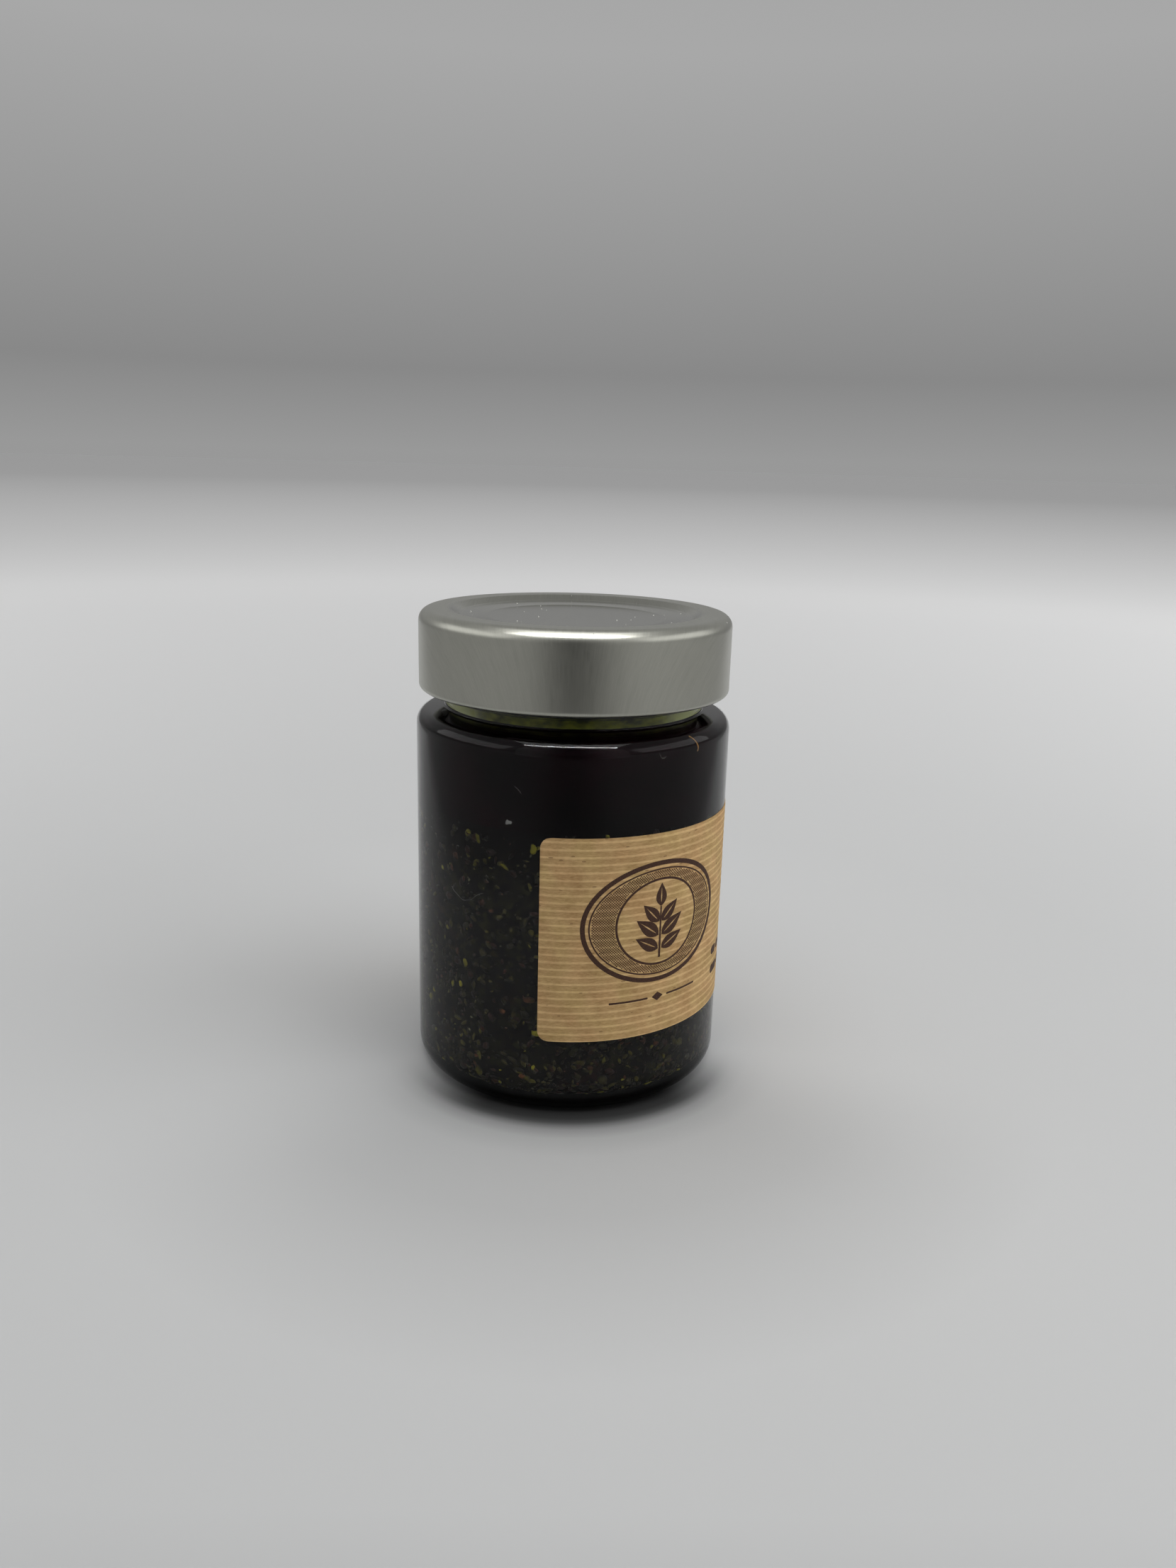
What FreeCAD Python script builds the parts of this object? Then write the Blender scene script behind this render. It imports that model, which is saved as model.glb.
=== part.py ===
import FreeCAD, Part
import math
import os

# A round glass jar of pesto under oil, with a deep twist-off lid and a wrapped paper label.
# Millimetres. +Z is up, the origin is the centre of the base, and the label's leading edge
# is near -Y, from where the label runs round towards +X.

# ---- glass body -------------------------------------------------------------------------
body_diameter = 62.0
neck_foot_height = 73.6      # where the shoulder meets the neck
body_wall = 2.2
heel_radius = 4.0            # outside, between the base and the side
floor_height = 2.8           # inside, at the edge of the floor
push_up = 1.6                # how far the middle of the base is domed up
push_up_run = 8.0            # width of the slope between the bearing ring and the dome
bearing_ring_radius = 24.0   # inner edge of the ring that the jar stands on
inner_heel_radius = 3.6
shoulder_slope = 10.0        # degrees below level, from the neck out
shoulder_radius = 2.8

# ---- neck and finish --------------------------------------------------------------------
shoulder_width = 5.6         # from the body's side in to the neck
neck_height = 3.5            # straight part of the neck, below the finish
neck_fillet = 0.5
neck_wall = 2.2
bore_flare = 1.1             # how much wider, on radius, the bore is at the rim
finish_step = 1.95           # from the neck out to the finish
finish_flare_height = 1.3    # slope between the neck and the finish
finish_height = 13.0         # from the top of that slope to the rim
rim_radius = 0.9

# ---- thread ridges on the finish and lugs in the lid ------------------------------------
thread_count = 4
ridge_radius = 0.9
ridge_angle = 60.0           # degrees of the circle that one ridge takes
ridge_pitch_angle = 3.5      # degrees that a ridge climbs
lug_angle = 18.0             # degrees of the circle that one lug takes
lug_setback = 19.0           # degrees from the middle of a ridge back to the lug under it
lug_nose_radius = 0.6
lug_clearance = 0.2          # between a lug and the wall of the finish
thread_clearance = 0.1       # between a lug and the ridge above it

# ---- lid --------------------------------------------------------------------------------
sheet = 0.3                  # thickness of the pressed metal
lid_lift = 3.45              # lid's lower edge above the foot of the neck
lid_edge_radius = 2.3
curl_radius = 1.05           # outer radius of the rolled lower edge
curl_turn = 250.0            # degrees that the edge is rolled through
curl_clearance = 0.15        # between the rolled edge and the ridges
panel_margin = 0.2           # top of the panel's step, outside the bore's edge
step_depth = 1.0
step_run = 1.9
step_radius = 0.7
ledge_width = 5.2            # slope between the step and the middle of the panel
ledge_drop = 0.35
ledge_radius = 6.0
seal_thickness = 0.75
seal_overhang = 0.4          # seal beyond the finish, on radius

# ---- contents ---------------------------------------------------------------------------
oil_headroom = 0.2           # oil's surface below the foot of the neck
pesto_height = 55.5          # top of the settled pesto above the base

# ---- label ------------------------------------------------------------------------------
label_thickness = 0.12
label_bottom = 15.5
label_height = 39.9
label_length = 140.0         # round the side
label_corner_radius = 2.0
label_start_angle = -100.0   # degrees, of the leading edge about +Z from +X

# ---- worked out from the above ----------------------------------------------------------
body_radius = body_diameter / 2
inner_radius = body_radius - body_wall
neck_radius = body_radius - shoulder_width
finish_radius = neck_radius + finish_step
bore_foot_radius = neck_radius - neck_wall
bore_rim_radius = bore_foot_radius + bore_flare
neck_top = neck_foot_height + neck_height
finish_foot = neck_top + finish_flare_height
rim_height = finish_foot + finish_height
lid_under = rim_height + seal_thickness
lid_top = lid_under + sheet
lid_bottom = neck_foot_height + lid_lift
lid_radius = finish_radius + ridge_radius + curl_clearance + 2 * curl_radius
panel_radius = bore_rim_radius + panel_margin
lug_top = lid_bottom + 2 * curl_radius

ORIGIN = FreeCAD.Vector(0, 0, 0)
UP = FreeCAD.Vector(0, 0, 1)


def point(r, z):
    return FreeCAD.Vector(r, 0, z)


def rounded_path(corners, closed):
    """Edges in the XZ plane through (r, z, radius) corners, with an arc at each radius."""
    count = len(corners)
    runs = []
    for i, (r, z, radius) in enumerate(corners):
        here = point(r, z)
        end = not closed and i in (0, count - 1)
        if radius == 0 or end:
            runs.append((here, None, here))
            continue
        back = (point(*corners[i - 1][:2]) - here).normalize()
        ahead = (point(*corners[(i + 1) % count][:2]) - here).normalize()
        half = back.getAngle(ahead) / 2
        towards = (back + ahead).normalize()
        centre = here + towards * (radius / math.sin(half))
        reach = radius / math.tan(half)
        runs.append((here + back * reach, centre - towards * radius, here + ahead * reach))
    edges = []
    for i, (first, middle, last) in enumerate(runs):
        if middle is not None:
            edges.append(Part.Arc(first, middle, last).toShape())
        if i + 1 < count or closed:
            following = runs[(i + 1) % count][0]
            edges.append(Part.LineSegment(last, following).toShape())
    return edges


def turned(face, angle=360.0):
    return face.revolve(ORIGIN, UP, angle)


def rectangle(inner, outer, bottom, top):
    """Face in the XZ plane between two radii and two heights."""
    corners = [(inner, bottom), (outer, bottom), (outer, top), (inner, top), (inner, bottom)]
    return Part.Face(Part.makePolygon([point(r, z) for r, z in corners]))


def around(shape, angle):
    copy = shape.copy()
    copy.rotate(ORIGIN, UP, angle)
    return copy


def shoulder_height(r, below=0.0):
    """Height of the shoulder's slope at radius r, or of a line that lies so far below it."""
    slope = math.radians(shoulder_slope)
    return neck_foot_height - (r - neck_radius) * math.tan(slope) - below / math.cos(slope)


def inside_corners():
    """The jar's inner outline from the middle of the floor up to the foot of the bore."""
    dome_edge = bearing_ring_radius - push_up_run
    shoulder = shoulder_height(inner_radius, body_wall)
    bore_foot = shoulder_height(bore_foot_radius, body_wall)
    return [
        (0, floor_height + push_up, 0),
        (dome_edge, floor_height + push_up, push_up_run),
        (bearing_ring_radius, floor_height, push_up_run / 2),
        (inner_radius, floor_height, inner_heel_radius),
        (inner_radius, shoulder, max(shoulder_radius - body_wall, body_wall / 2)),
        (bore_foot_radius, bore_foot, neck_fillet),
    ]


def thread_ridge():
    """One ridge on +X: part of a ring tilted to climb, with round ends, sunk in the wall."""
    half = ridge_angle / 2
    ridge = Part.makeTorus(finish_radius, ridge_radius, ORIGIN, UP, 0, 360, ridge_angle)
    ridge.rotate(ORIGIN, UP, -half)
    for side in (-half, half):
        tip = Part.makeSphere(ridge_radius, FreeCAD.Vector(finish_radius, 0, 0))
        ridge = ridge.fuse(around(tip, side))
    ridge.rotate(ORIGIN, FreeCAD.Vector(1, 0, 0), ridge_pitch_angle)
    low_end = lug_setback + lug_angle / 2
    drop = finish_radius * math.sin(math.radians(low_end))
    drop *= math.tan(math.radians(ridge_pitch_angle))
    ridge.translate(UP * (lug_top + thread_clearance + ridge_radius + drop))
    return ridge


def thread_lug():
    """One lug of the lid: the rolled edge pressed in, to catch under a ridge's low end."""
    nose = finish_radius + lug_clearance
    root = lid_radius - curl_radius
    corners = [(nose, lid_bottom + sheet, lug_nose_radius), (root, lid_bottom + sheet, 0),
               (root, lug_top, 0), (nose, lug_top, lug_nose_radius)]
    section = Part.Face(Part.Wire(rounded_path(corners, closed=True)))
    return around(turned(section, lug_angle), -lug_setback - lug_angle / 2)


def round_the_thread(shape):
    """The shape repeated once for each ridge and lug."""
    return [around(shape, i * 360.0 / thread_count) for i in range(thread_count)]


def make_jar():
    base = [
        (bearing_ring_radius, 0, push_up_run / 2),
        (body_radius, 0, heel_radius),
        (body_radius, shoulder_height(body_radius), shoulder_radius),
        (neck_radius, neck_foot_height, neck_fillet),
        (neck_radius, neck_top, neck_fillet),
        (finish_radius, finish_foot, neck_fillet),
        (finish_radius, rim_height, rim_radius),
        (bore_rim_radius, rim_height, rim_radius),
    ]
    dome_edge = bearing_ring_radius - push_up_run
    dome = [(0, push_up, 0), (dome_edge, push_up, push_up_run)]
    inside = inside_corners()[::-1]
    outline = Part.Wire(rounded_path(dome + base + inside, closed=True))
    jar = turned(Part.Face(outline))
    return jar.fuse(round_the_thread(thread_ridge())).removeSplitter()


def make_contents():
    """The jar's inside up to the oil's surface, cut in two at the top of the pesto."""
    oil_top = neck_foot_height - oil_headroom
    bore_foot = shoulder_height(bore_foot_radius, body_wall)
    widening = bore_flare * (oil_top - bore_foot) / (rim_height - bore_foot)
    corners = inside_corners() + [(bore_foot_radius + widening, oil_top, 0), (0, oil_top, 0)]
    filling = turned(Part.Face(Part.Wire(rounded_path(corners, closed=True))))
    lower = Part.makeCylinder(body_diameter, pesto_height)
    return filling.common(lower), filling.cut(lower)


def make_lid():
    """Pressed sheet: its outer line, then the rolled edge, thickened towards the inside."""
    panel_floor = lid_top - step_depth - ledge_drop
    step_foot = panel_radius - step_run
    corners = [
        (0, panel_floor, 0),
        (step_foot - ledge_width, panel_floor, ledge_radius),
        (step_foot, lid_top - step_depth, step_radius),
        (panel_radius, lid_top, step_radius),
        (lid_radius, lid_top, lid_edge_radius),
        (lid_radius, lid_bottom + curl_radius, 0),
    ]
    centre = point(lid_radius - curl_radius, lid_bottom + curl_radius)

    def on_curl(turn):
        angle = math.radians(-turn)
        return centre + point(math.cos(angle), math.sin(angle)) * curl_radius

    curl = Part.Arc(on_curl(0), on_curl(curl_turn / 2), on_curl(curl_turn)).toShape()
    outer_line = Part.Wire(rounded_path(corners, closed=False) + [curl])
    section = outer_line.makeOffset2D(-sheet, 0, True, True)
    return turned(section).fuse(round_the_thread(thread_lug())).removeSplitter()


def make_seal_ring():
    inner = panel_radius + step_radius
    outer = finish_radius + seal_overhang
    return turned(rectangle(inner, outer, rim_height, rim_height + seal_thickness))


def corner_cutter(angle, height, sideways, upwards):
    """What rounds off a corner of the label; the two signs point into the label."""
    radius = label_corner_radius
    margin = radius / 2
    box = Part.makeBox(2 * margin + label_thickness, radius + margin, radius + margin,
                       FreeCAD.Vector(body_radius - margin, -margin, -margin))
    length = 2 * box.BoundBox.XLength
    start = FreeCAD.Vector(body_radius - length / 2, radius, radius)
    cutter = box.cut(Part.makeCylinder(radius, length, start, FreeCAD.Vector(1, 0, 0)))
    if sideways < 0:
        cutter = cutter.mirror(ORIGIN, FreeCAD.Vector(0, 1, 0))
    if upwards < 0:
        cutter = cutter.mirror(ORIGIN, UP)
    cutter.translate(UP * height)
    return around(cutter, angle)


def make_label():
    """A thin band round part of the side, with its four corners rounded."""
    sweep = math.degrees(label_length / body_radius)
    label_top = label_bottom + label_height
    section = rectangle(body_radius, body_radius + label_thickness, label_bottom, label_top)
    band = around(turned(section, sweep), label_start_angle)
    cutters = []
    for angle, sideways in ((label_start_angle, 1), (label_start_angle + sweep, -1)):
        for height, upwards in ((label_bottom, 1), (label_top, -1)):
            cutters.append(corner_cutter(angle, height, sideways, upwards))
    return band.cut(cutters)


def main():
    pesto, oil = make_contents()
    nodes = {
        "jar": make_jar(),
        "lid": make_lid(),
        "seal_ring": make_seal_ring(),
        "oil": oil,
        "pesto": pesto,
        "label": make_label(),
    }
    os.makedirs("parts", exist_ok=True)
    for name, shape in nodes.items():
        solid = shape.Solids[0]
        solid.exportStep("parts/" + name + ".step")
        print(name, len(shape.Solids), solid.isValid(), round(solid.Volume, 1))


main()
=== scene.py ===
import math
import random

import bmesh
import bpy
import numpy as np
from mathutils import Matrix, Vector


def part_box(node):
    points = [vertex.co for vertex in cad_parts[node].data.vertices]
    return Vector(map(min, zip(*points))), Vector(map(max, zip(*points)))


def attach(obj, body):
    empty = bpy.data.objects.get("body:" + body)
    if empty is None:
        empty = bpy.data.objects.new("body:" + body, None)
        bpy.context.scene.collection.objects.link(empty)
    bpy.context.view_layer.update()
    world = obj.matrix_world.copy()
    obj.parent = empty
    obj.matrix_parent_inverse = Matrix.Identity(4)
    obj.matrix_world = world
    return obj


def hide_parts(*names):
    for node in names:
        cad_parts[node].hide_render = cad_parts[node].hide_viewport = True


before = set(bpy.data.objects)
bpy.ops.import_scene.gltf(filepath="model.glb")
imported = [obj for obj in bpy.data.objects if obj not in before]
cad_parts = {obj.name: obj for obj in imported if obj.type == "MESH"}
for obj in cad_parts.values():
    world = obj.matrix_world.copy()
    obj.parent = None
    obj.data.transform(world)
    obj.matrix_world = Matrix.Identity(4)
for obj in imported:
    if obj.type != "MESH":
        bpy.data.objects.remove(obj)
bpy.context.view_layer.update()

# ---- Camera -----------------------------------------------------------------------------
# A small wide lens, held by hand in front of the jar and a little above its lid. It looks
# down at the jar and leans a little to one side, as a hand does.

scene = bpy.context.scene
scene.view_settings.view_transform = "Standard"
mm = 0.001

camera_place = Vector((0.0, -234.9, 121.5)) * mm
look_down = math.radians(15.33)
look_aside = math.radians(0.80)
hand_tilt = math.radians(1.58)

ahead = Vector((math.sin(look_aside) * math.cos(look_down),
                math.cos(look_aside) * math.cos(look_down),
                -math.sin(look_down)))
level_right = Vector((math.cos(look_aside), -math.sin(look_aside), 0.0))
level_up = level_right.cross(ahead)
camera_right = math.cos(hand_tilt) * level_right + math.sin(hand_tilt) * level_up
camera_up = math.cos(hand_tilt) * level_up - math.sin(hand_tilt) * level_right

camera_data = bpy.data.cameras.new("camera")
camera_data.lens = 27.58
camera_data.clip_start = 0.01
camera = bpy.data.objects.new("camera", camera_data)
scene.collection.objects.link(camera)
turn = Matrix((camera_right, camera_up, -ahead)).transposed()
camera.matrix_world = Matrix.Translation(camera_place) @ turn.to_4x4()
scene.camera = camera

# ---- Glass jar --------------------------------------------------------------------------
# A round straight jar of clear, faintly green glass. It is blown in a mould, so its surface
# is a little wavy. It has a domed base, four thread ridges, and oil clinging inside its neck.

jar_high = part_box("jar")[1]
body_radius = jar_high.x
rim_height = jar_high.z
wall = 2.2 * mm
inner_radius = body_radius - wall
floor_height = 2.8 * mm
push_up = 1.6 * mm
push_up_run = 8 * mm
bearing_ring_radius = 24 * mm
heel_radius = 4 * mm
inner_heel_radius = 3.6 * mm
neck_foot = 73.6 * mm
neck_top = 77.1 * mm
neck_radius = body_radius - 5.6 * mm
neck_fillet = 0.5 * mm
shoulder_radius = 2.8 * mm
shoulder_slope = math.radians(10)
finish_radius = neck_radius + 1.95 * mm
finish_foot = 78.4 * mm
rim_radius = 0.9 * mm
bore_foot_radius = neck_radius - wall
bore_rim_radius = bore_foot_radius + 1.1 * mm
ridge_count = 4
ridge_radius = 0.9 * mm
ridge_middle = 80.94 * mm
ridge_rows_from = 79.05 * mm
ridge_row_gap = 0.25 * mm
ridge_rows = 16
points_round = 192


def rounded(corners, steps=8, hold=0.3 * mm):
    """Points (r, z) along (r, z, radius) corners: an arc at each, and a point near its ends."""
    arcs = []
    for i, (r, z, radius) in enumerate(corners):
        here = Vector((r, z))
        if radius == 0:
            arcs.append(here)
            continue
        back = (Vector(corners[i - 1][:2]) - here).normalized()
        on = (Vector(corners[i + 1][:2]) - here).normalized()
        half = back.angle(on) / 2
        reach = radius / math.tan(half)
        centre = here + (back + on).normalized() * (radius / math.sin(half))
        first = here + back * reach - centre
        last = here + on * reach - centre
        sweep = math.pi - 2 * half
        for step in range(steps + 1):
            part = step / steps * sweep
            spread = first * math.sin(sweep - part) + last * math.sin(part)
            arcs.append(centre + spread / math.sin(sweep))
    points = [arcs[0]]
    for start, end in zip(arcs, arcs[1:]):
        run = end - start
        if run.length > 4 * hold:
            points.append(start + run.normalized() * hold)
            points.append(end - run.normalized() * hold)
        points.append(end)
    return points


def smoothed(mesh):
    """The mesh with its faces pointing outwards, smooth apart from its sharp edges."""
    shell = bmesh.new()
    shell.from_mesh(mesh)
    bmesh.ops.recalc_face_normals(shell, faces=shell.faces)
    shell.to_mesh(mesh)
    shell.free()
    mesh.shade_smooth()
    mesh.set_sharp_from_angle(angle=math.radians(40))
    return mesh


def placed(name, mesh):
    """The mesh, smoothed, as an object of the scene."""
    piece = bpy.data.objects.new(name, smoothed(mesh))
    scene.collection.objects.link(piece)
    return piece


def shaped(name, points, faces):
    """An object of the scene with these points and faces."""
    mesh = bpy.data.meshes.new(name)
    mesh.from_pydata(points, [], faces)
    return placed(name, mesh)


def turned(name, outline):
    """An object made by turning the outline round Z; both its ends lie on the axis."""
    angles = np.arange(points_round) * 2 * math.pi / points_round
    radii = np.array([point.x for point in outline[1:-1]])
    heights = np.array([point.y for point in outline[1:-1]])
    places = np.empty((len(radii), points_round, 3))
    places[:, :, 0] = radii[:, None] * np.cos(angles)
    places[:, :, 1] = radii[:, None] * np.sin(angles)
    places[:, :, 2] = heights[:, None]
    ends = [(0, 0, outline[0].y), (0, 0, outline[-1].y)]
    faces = []
    last_ring = 2 + (len(radii) - 1) * points_round
    for i in range(points_round):
        j = (i + 1) % points_round
        faces.append((0, 2 + i, 2 + j))
        faces.append((1, last_ring + j, last_ring + i))
        for ring in range(2, last_ring, points_round):
            on = ring + points_round
            faces.append((ring + i, on + i, on + j, ring + j))
    return shaped(name, ends + places.reshape(-1, 3).tolist(), faces)


def shoulder_height(r, below=0.0):
    """Height of the shoulder's slope at a radius, or of a line so far below it."""
    fall = (r - neck_radius) * math.tan(shoulder_slope)
    return neck_foot - fall - below / math.cos(shoulder_slope)


thread_rows = [(finish_radius, ridge_rows_from + ridge_row_gap * row, 0)
               for row in range(ridge_rows)]
inside = [
    (bore_foot_radius, shoulder_height(bore_foot_radius, wall), neck_fillet),
    (inner_radius, shoulder_height(inner_radius, wall), wall / 2),
    (inner_radius, floor_height, inner_heel_radius),
    (bearing_ring_radius, floor_height, push_up_run / 2),
    (bearing_ring_radius - push_up_run, floor_height + push_up, push_up_run),
    (0, floor_height + push_up, 0),
]
outside = [
    (0, push_up, 0),
    (bearing_ring_radius - push_up_run, push_up, push_up_run),
    (bearing_ring_radius, 0, push_up_run / 2),
    (body_radius, 0, heel_radius),
    (body_radius, shoulder_height(body_radius), shoulder_radius),
    (neck_radius, neck_foot, neck_fillet),
    (neck_radius, neck_top, neck_fillet),
    (finish_radius, finish_foot, neck_fillet),
    *thread_rows,
    (finish_radius, rim_height, rim_radius),
    (bore_rim_radius, rim_height, rim_radius),
]
jar = turned("jar_glass", rounded(outside + inside))


def add(tree, kind, inputs=None, **settings):
    """A new node with these settings, and with values or links for its inputs."""
    made = tree.nodes.new(kind)
    for name, value in settings.items():
        setattr(made, name, value)
    for name, value in (inputs or {}).items():
        if isinstance(value, bpy.types.NodeSocket):
            tree.links.new(value, made.inputs[name])
        else:
            made.inputs[name].default_value = value
    return made


def tree_of(*values):
    """The node tree of the first link among these values."""
    return next(value.id_data for value in values if isinstance(value, bpy.types.NodeSocket))


def calc(operation, *values):
    """The result of one sum on values and links."""
    inputs = dict(enumerate(values))
    return add(tree_of(*values), "ShaderNodeMath", inputs, operation=operation).outputs[0]


def length(one, other):
    """The straight distance over two runs at a right angle."""
    return calc("SQRT", calc("ADD", calc("POWER", one, 2.0), calc("POWER", other, 2.0)))


def xyz(vector):
    """The three parts of a vector."""
    return add(tree_of(vector), "ShaderNodeSeparateXYZ", {0: vector}).outputs


def joined(x, y, z):
    """The vector with these three parts."""
    return add(tree_of(x, y, z), "ShaderNodeCombineXYZ", {0: x, 1: y, 2: z}).outputs[0]


def new_tree(name, **sizes):
    """A Geometry Nodes tree with these named inputs (str for a material), and their sockets."""
    tree = bpy.data.node_groups.new(name, "GeometryNodeTree")
    sockets = {int: "NodeSocketInt", float: "NodeSocketFloat", str: "NodeSocketMaterial"}
    tree.interface.new_socket("Geometry", in_out="INPUT", socket_type="NodeSocketGeometry")
    for label, kind in sizes.items():
        tree.interface.new_socket(label, in_out="INPUT", socket_type=sockets[kind])
    tree.interface.new_socket("Geometry", in_out="OUTPUT", socket_type="NodeSocketGeometry")
    return tree, tree.nodes.new("NodeGroupInput").outputs


def on_mesh(tree):
    """Where each point of the mesh is."""
    return add(tree, "GeometryNodeInputPosition").outputs[0]


def then(kind, geometry, inputs=None, **settings):
    """The geometry after one more step of its tree."""
    inputs = {"Geometry": geometry, **(inputs or {})}
    return add(tree_of(geometry), "GeometryNode" + kind, inputs, **settings).outputs[0]


def end_tree(geometry, material=None):
    """Ends a tree with this geometry, in a material if one is given."""
    if material is not None:
        geometry = then("SetMaterial", geometry, {"Material": material})
    add(tree_of(geometry), "NodeGroupOutput", {0: geometry})


def grow(piece, tree, **sizes):
    """Runs a tree on a piece with these sizes and keeps the result as its plain mesh."""
    modifier = piece.modifiers.new(tree.name, "NODES")
    modifier.node_group = tree
    for item in tree.interface.items_tree:
        if item.in_out == "INPUT" and item.name in sizes:
            modifier[item.identifier] = sizes[item.name]
    graph = bpy.context.evaluated_depsgraph_get()
    mesh = bpy.data.meshes.new_from_object(
        piece.evaluated_get(graph), preserve_all_data_layers=True, depsgraph=graph)
    piece.modifiers.remove(modifier)
    piece.data = mesh


def colour(red, green, blue):
    """Linear colour from the usual steps of 0 to 255."""
    steps = [step / 255 for step in (red, green, blue)]
    return tuple(s / 12.92 if s < 0.04 else ((s + 0.055) / 1.055) ** 2.4 for s in steps) + (1,)


def new_material(name, **finish):
    """A material and its shader, whose sockets take the finish given."""
    material = bpy.data.materials.new(name)
    material.use_nodes = True
    shader = material.node_tree.nodes["Principled BSDF"]
    for socket, value in finish.items():
        shader.inputs[socket.replace("_", " ")].default_value = value
    return material, shader


def on_object(shader):
    """Where each point of the surface is on its object."""
    return add(shader.id_data, "ShaderNodeTexCoord").outputs["Object"]


def pattern(kind, where, scale, **inputs):
    """The outputs of a texture, with one scale or with one for each axis."""
    if isinstance(scale, tuple):
        where = add(tree_of(where), "ShaderNodeMapping", {"Vector": where, "Scale": scale}).outputs[0]
        scale = 1.0
    inputs = {"Vector": where, "Scale": scale, **inputs}
    return add(tree_of(where), "ShaderNodeTex" + kind, inputs).outputs


def noise(where, scale, detail=2.0, **inputs):
    """A cloudy pattern from 0 to 1."""
    return pattern("Noise", where, scale, Detail=detail, **inputs)[0]


def fade(value, start, end, low=0.0, high=1.0, how="LINEAR"):
    """A number that goes from low to high while the value goes from start to end."""
    return add(tree_of(value), "ShaderNodeMapRange", {0: value, 1: start, 2: end, 3: low, 4: high},
               interpolation_type=how).outputs[0]


def ease(*values):
    """A fade with a soft start and end."""
    return fade(*values, how="SMOOTHSTEP")


def blend(share, one, other, how="MIX"):
    """A colour that goes from one to the other as the share goes from 0 to 1."""
    return add(tree_of(share, one, other), "ShaderNodeMix", {0: share, 6: one, 7: other},
               data_type="RGBA", blend_type=how).outputs[2]


def paint(shader, link, socket="Base Color"):
    """Gives a link to a socket of the shader, its colour unless another is named."""
    tree_of(link).links.new(link, shader.inputs[socket])


def bump(shader, height, strength, distance):
    """Raises the surface by a height pattern."""
    inputs = {"Height": height, "Strength": strength, "Distance": distance}
    paint(shader, add(tree_of(height), "ShaderNodeBump", inputs).outputs[0], "Normal")


glass, shader = new_material("jar_glass", Roughness=0.012, IOR=1.3, Transmission_Weight=1.0)
here = on_object(shader)
waves = noise(here, 130.0, 1.0)
ripples = noise(here, (110.0, 110.0, 900.0), 1.0)
bump(shader, calc("MULTIPLY_ADD", ripples, 0.06, waves), 0.45, 0.1 * mm)
# Painted shade: the glass turns dark grey towards its base, standing in for the shade under the heel.
painted_base_shade = ease(xyz(here)[2], 3.2 * mm, 1.0 * mm)
paint(shader, blend(painted_base_shade, (0.955, 0.975, 0.965, 1), (0.10, 0.11, 0.11, 1)))

tree, size = new_tree("thread_ridges", Count=int, Radius=float, Angle=float, Climb=float,
                      Middle=float, Wall=float, Material=str)
x, y, z = xyz(on_mesh(tree))
out = length(x, y)
half_share = calc("DIVIDE", math.pi, size["Count"])
around = calc("WRAP", calc("ARCTAN2", y, x), half_share, calc("MULTIPLY", half_share, -1.0))
half_angle = calc("DIVIDE", size["Angle"], 2.0)
on_ridge = calc("MAXIMUM", calc("MINIMUM", around, half_angle),
                calc("MULTIPLY", half_angle, -1.0))
past_end = calc("MULTIPLY", calc("SUBTRACT", around, on_ridge), size["Wall"])
slope = calc("MULTIPLY", size["Wall"], calc("TANGENT", size["Climb"]))
rise = calc("MULTIPLY", calc("SINE", on_ridge), slope)
off_middle = calc("SUBTRACT", z, calc("ADD", size["Middle"], rise))
distance = calc("ADD", calc("POWER", past_end, 2.0), calc("POWER", off_middle, 2.0))
bulge = calc("SQRT", calc("MAXIMUM", 0.0, calc(
    "SUBTRACT", calc("POWER", size["Radius"], 2.0), distance)))
share = calc("DIVIDE", bulge, out)
outer_wall = calc("GREATER_THAN", out, calc("SUBTRACT", size["Wall"], 0.05 * mm))
push = joined(calc("MULTIPLY", x, share), calc("MULTIPLY", y, share), 0.0)
ridged = then("SetPosition", size["Geometry"], {"Selection": outer_wall, "Offset": push})
end_tree(ridged, size["Material"])
grow(jar, tree, Count=ridge_count, Radius=ridge_radius, Angle=math.radians(60),
     Climb=math.radians(3.5), Middle=ridge_middle, Wall=finish_radius, Material=glass)

film_top = 84 * mm
lid_shade_line = 75.5 * mm
sheen_start = 15 * mm
sheen_end = 21 * mm
oil_film, shader = new_material(
    "oil_film", Roughness=0.3, Specular_IOR_Level=0.2, Transmission_Weight=0.25)
here = on_object(shader)
x, y, z = xyz(here)
drips = fade(noise(here, (260.0, 260.0, 500.0), 3.0), 0.35, 0.65)
olive = blend(drips, colour(64, 64, 8), colour(146, 150, 26))
# Painted highlight: the film is paler towards its left and right sides, where light catches it.
side_sheen = ease(calc("ABSOLUTE", x), sheen_start, sheen_end)
paler = blend(side_sheen, olive, colour(190, 196, 96))
# Painted shade: a little below the lid the film turns nearly black, as in the lid's shade.
lid_shade = fade(z, lid_shade_line - 0.1 * mm, lid_shade_line - 0.3 * mm, 0.12)
# Painted highlight: a thin paler line along the edge of that shade.
line = fade(calc("ABSOLUTE", calc("SUBTRACT", z, lid_shade_line)), 0.10 * mm, 0.04 * mm)
paint(shader, blend(calc("MAXIMUM", lid_shade, line), (0.004, 0.004, 0.001, 1), paler))
jar.data.materials.append(oil_film)
for face in jar.data.polygons:
    if neck_foot < face.center.z < film_top and math.hypot(*face.center.xy) < bore_rim_radius:
        face.material_index = 1
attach(jar, "root")
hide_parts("jar")

# ---- Oil --------------------------------------------------------------------------------
# Herb oil that stands over the settled pesto up to the foot of the neck. It is so deep and
# dark that it looks black through the glass, with a trace of red, and it creeps up the wall.

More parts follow.
